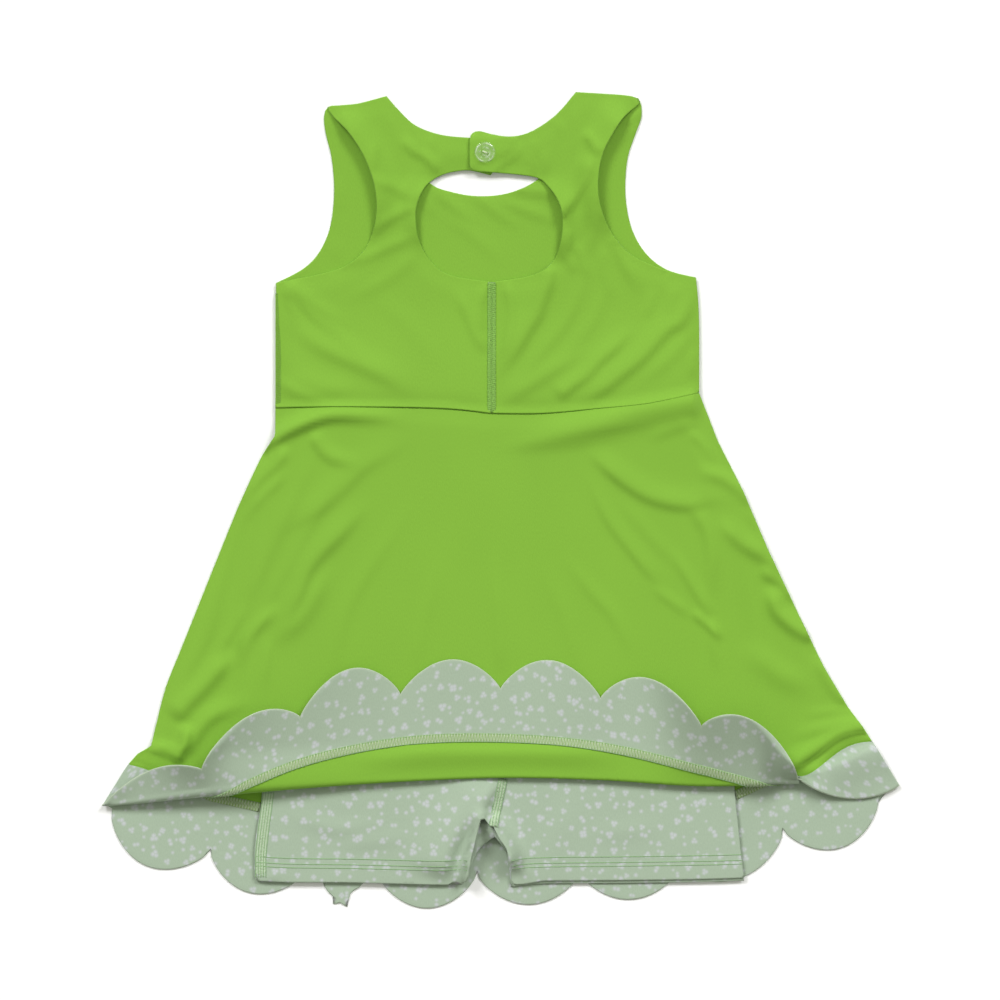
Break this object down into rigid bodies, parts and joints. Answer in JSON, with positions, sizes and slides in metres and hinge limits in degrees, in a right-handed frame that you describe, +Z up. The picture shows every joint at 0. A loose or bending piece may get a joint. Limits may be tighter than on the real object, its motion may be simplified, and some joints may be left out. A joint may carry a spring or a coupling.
{
  "type": "athletic dress",
  "caption": "Toddler's sleeveless knit dress with built-in shorts and a scalloped, folded-up border, laid flat with its back up.",
  "frame": {"origin": "on the surface that the dress lies on, under the middle of its box", "axes": "+X to the right as seen from above, +Y towards the shoulders, +Z up from the surface"},
  "size_m": [0.4775, 0.4891, 0.0213],
  "materials": {
    "lime_knit": "smooth polyester jersey, lime green, matte with a slight sheen",
    "print_knit": "smooth polyester jersey, pale sage with a small white flower print",
    "overlock": "overlock thread over a cut edge, yellow green",
    "seam_tape": "flat seam covered with thread, greyish green",
    "clear_button": "clear moulded polyester, glossy"
  },
  "bodies": {
    "root": {"front_bodice": "lime_knit", "front_skirt": "lime_knit", "front_border": "print_knit", "front_seam_strip_left": "overlock", "front_seam_strip_right": "overlock", "shorts_front": "print_knit", "shorts_back_left": "print_knit", "shorts_back_right": "print_knit", "shorts_centre_seam": "overlock", "back_skirt": "lime_knit", "back_border": "print_knit", "back_seam_strip": "overlock", "back_bodice_left": "lime_knit", "back_bodice_right": "lime_knit", "centre_back_tape": "seam_tape", "side_seam_tape": "seam_tape", "button": "clear_button"}
  },
  "joints": []
}
